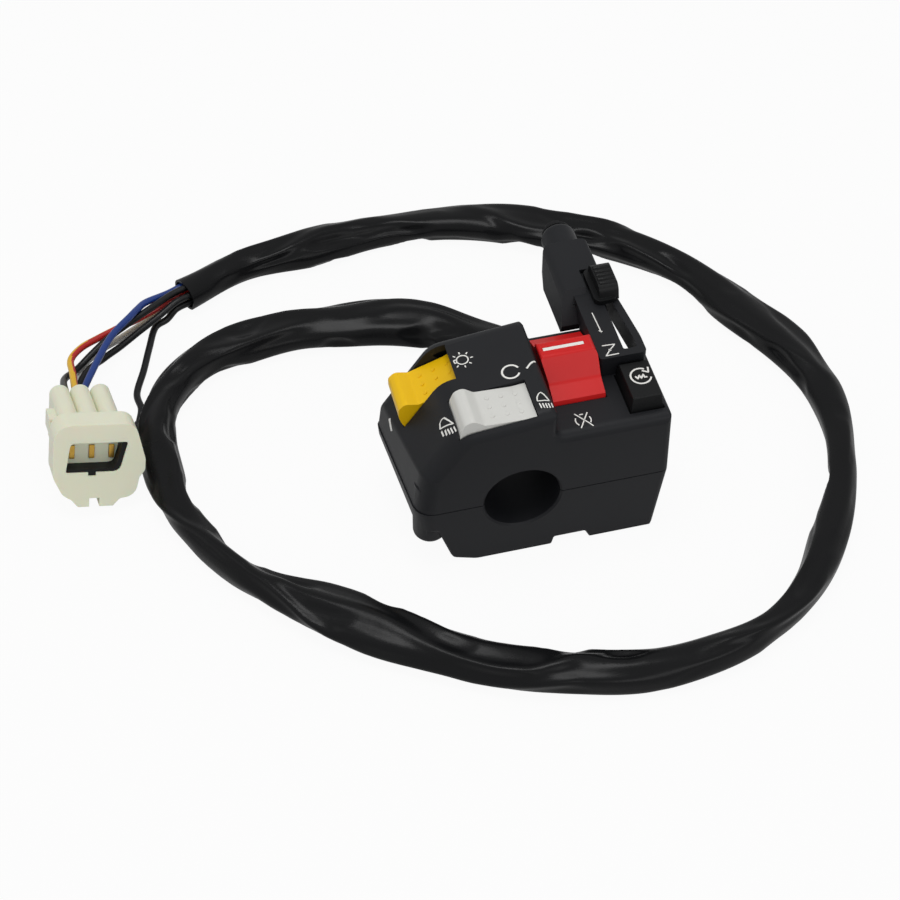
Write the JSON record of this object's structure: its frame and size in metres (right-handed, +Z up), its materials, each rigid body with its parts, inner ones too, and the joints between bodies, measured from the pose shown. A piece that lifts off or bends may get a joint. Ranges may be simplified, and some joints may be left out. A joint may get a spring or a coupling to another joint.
{
  "type": "handlebar switch cluster",
  "caption": "Clamshell switch housing for a handlebar with lighting rockers, an engine stop rocker, a start button, a sliding choke control and a sleeved wiring harness ending in a plug.",
  "frame": {"origin": "centre of the handlebar bore, midway along the housing", "axes": "+X across the housing towards the choke control, +Y along the handlebar away from the rider, +Z up out of the control panel"},
  "size_m": [0.2405, 0.2025, 0.0592],
  "materials": {
    "shell": "satin",
    "black_button": "satin",
    "signal_yellow": "satin",
    "pale_grey": "satin",
    "stop_red": "satin",
    "stripe_white": "satin",
    "steel": "zinc plated",
    "brass": "plain",
    "board": "laminate",
    "grommet_rubber": "matte",
    "sleeve_vinyl": "glossy vinyl",
    "wire_blue": "vinyl",
    "wire_yellow": "vinyl with a red tracer",
    "wire_white": "vinyl",
    "wire_black": "vinyl",
    "nylon_ivory": "natural nylon",
    "keeper_black": "matte"
  },
  "bodies": {
    "housing": {"upper_housing": "shell", "lower_housing": "shell", "housing_screws": "steel", "light_rocker_pin": "steel", "light_board": "board", "dimmer_rocker_pin": "steel", "dimmer_board": "board", "stop_rocker_pin": "steel", "stop_board": "board", "start_spring": "steel", "start_board": "board", "fixed_contacts": "brass", "choke_housing": "shell", "choke_base": "shell", "choke_screws": "steel", "choke_base_screws": "steel", "choke_friction_spring": "steel", "cable_ferrule": "grommet_rubber", "harness_grommet": "grommet_rubber", "harness_sleeve": "sleeve_vinyl", "blue_wire": "wire_blue", "yellow_wire": "wire_yellow", "white_wire": "wire_white", "left_black_wire": "wire_black", "right_black_wire": "wire_black", "ground_wire": "wire_black", "ground_bullet": "wire_black", "connector_housing": "nylon_ivory", "connector_blades": "brass", "connector_keeper": "keeper_black"},
    "light": {"light_rocker": "signal_yellow", "light_contact": "brass"},
    "dimmer": {"dimmer_rocker": "pale_grey", "dimmer_contact": "brass"},
    "stop": {"stop_rocker": "stop_red", "stop_stripe": "stripe_white", "stop_contact": "brass"},
    "start": {"start_button": "black_button", "start_contact": "brass"},
    "choke": {"choke_slider": "black_button", "choke_knob": "black_button"}
  },
  "joints": [
    {"name": "light_tilt", "type": "hinge", "parent": "housing", "child": "light", "pos_m": [-0.0194, 0.009, 0.0201], "axis": [0, -1, 0], "range_deg": [0, 18]},
    {"name": "dimmer_tilt", "type": "hinge", "parent": "housing", "child": "dimmer", "pos_m": [-0.0067, -0.0115, 0.0274], "axis": [0, 1, 0], "range_deg": [0, 18]},
    {"name": "stop_tilt", "type": "hinge", "parent": "housing", "child": "stop", "pos_m": [0.0192, 0.0047, 0.02], "axis": [1, 0, 0], "range_deg": [-12, 12]},
    {"name": "start_press", "type": "slide", "parent": "housing", "child": "start", "axis": [0, 0, -1], "range_m": [0, 0.0025], "stiffness_N_per_m": 400, "springref_m": -0.0015, "deforming": ["start_spring"]},
    {"name": "choke_slide", "type": "slide", "parent": "housing", "child": "choke", "axis": [0, -1, 0], "range_m": [0, 0.015]}
  ]
}
